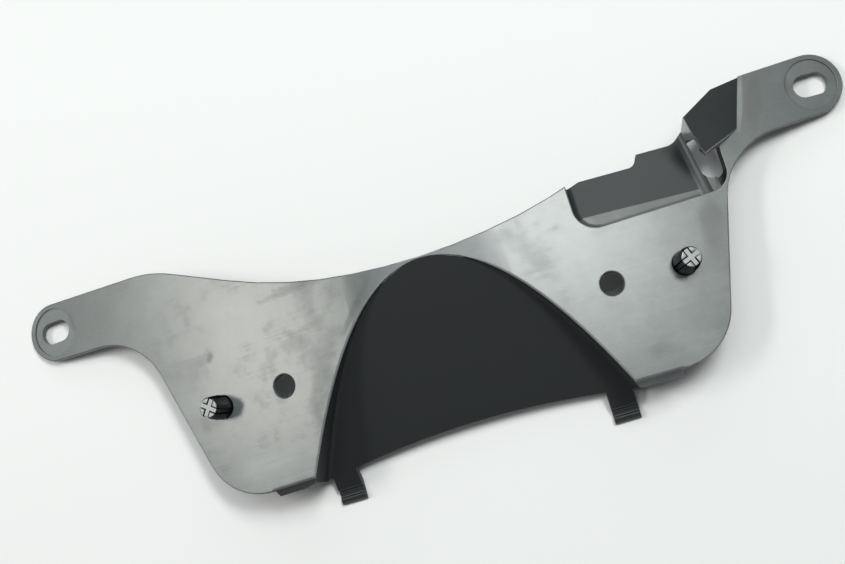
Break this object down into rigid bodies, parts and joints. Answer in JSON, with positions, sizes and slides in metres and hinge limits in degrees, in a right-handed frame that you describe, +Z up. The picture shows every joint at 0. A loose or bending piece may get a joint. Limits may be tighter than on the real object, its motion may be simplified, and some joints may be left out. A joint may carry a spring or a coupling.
{
  "type": "fairing inner panel",
  "caption": "Arched black motorbike fairing inner panel with two slotted ears, a central scoop, two hooks, a pocket with a hood on one arm, and two push rivets.",
  "frame": {"origin": "middle of the bounding box in plan, at the level of the ears' lower tips and the hooks' undersides", "axes": "+X from the plain left arm to the right arm with the hood, +Y from the hooks to the edge that carries the arms, +Z up, out of the face that is seen"},
  "size_m": [0.3058, 0.1016, 0.0308],
  "materials": {
    "satin_plastic": "satin",
    "rivet_plastic": "satin",
    "pin_plastic": "satin"
  },
  "bodies": {
    "root": {"panel": "satin_plastic", "rivet_body_left": "rivet_plastic", "rivet_pin_left": "pin_plastic", "rivet_body_right": "rivet_plastic", "rivet_pin_right": "pin_plastic"}
  },
  "joints": []
}
